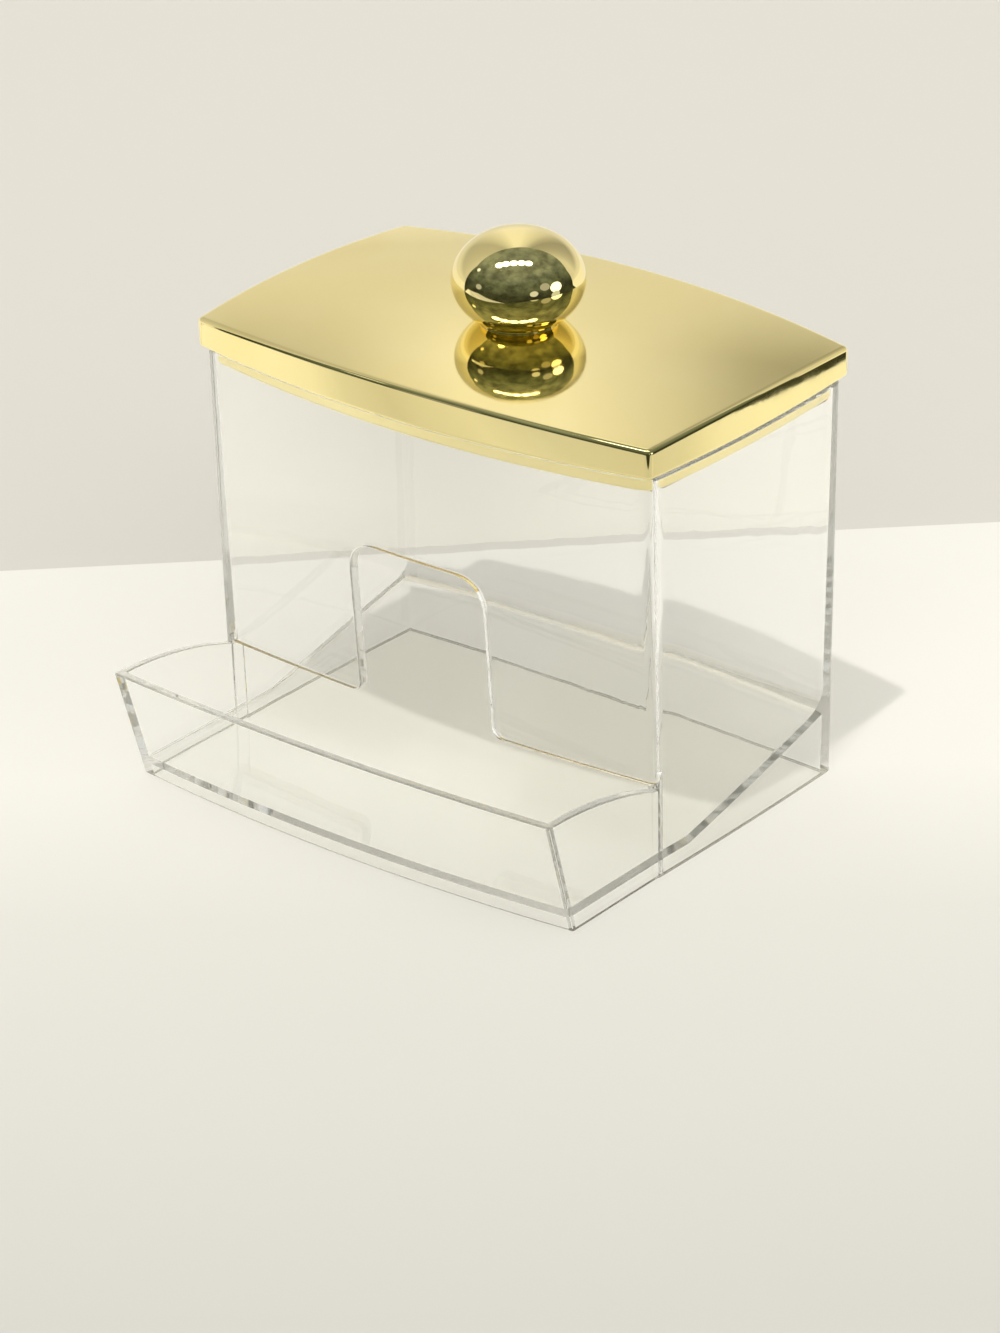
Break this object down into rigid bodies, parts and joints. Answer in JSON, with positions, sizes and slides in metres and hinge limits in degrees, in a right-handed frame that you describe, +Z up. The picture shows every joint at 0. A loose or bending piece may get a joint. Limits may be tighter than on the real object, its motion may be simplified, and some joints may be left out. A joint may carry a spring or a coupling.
{
  "type": "cotton swab holder",
  "caption": "Clear bowed box with a sloping floor, a finger notch and an open tray in front, under a gilt lift-off lid with a round knob.",
  "frame": {"origin": "middle of the footprint's bounding box, at the level of the table", "axes": "+Z up, the open tray faces -Y, +X to the right seen from the front"},
  "size_m": [0.0976, 0.0866, 0.0953],
  "materials": {
    "clear_body": "clear, polished",
    "gilt": "mirror gold plating on plastic",
    "steel": "zinc plated"
  },
  "bodies": {
    "holder": {"clear_body": "clear_body"},
    "lid": {"lid": "gilt", "lid_knob": "gilt", "knob_screw": "steel"}
  },
  "joints": [
    {"name": "lid_lift", "type": "slide", "parent": "holder", "child": "lid", "axis": [0, 0, 1], "range_m": [0, 0.05]}
  ]
}
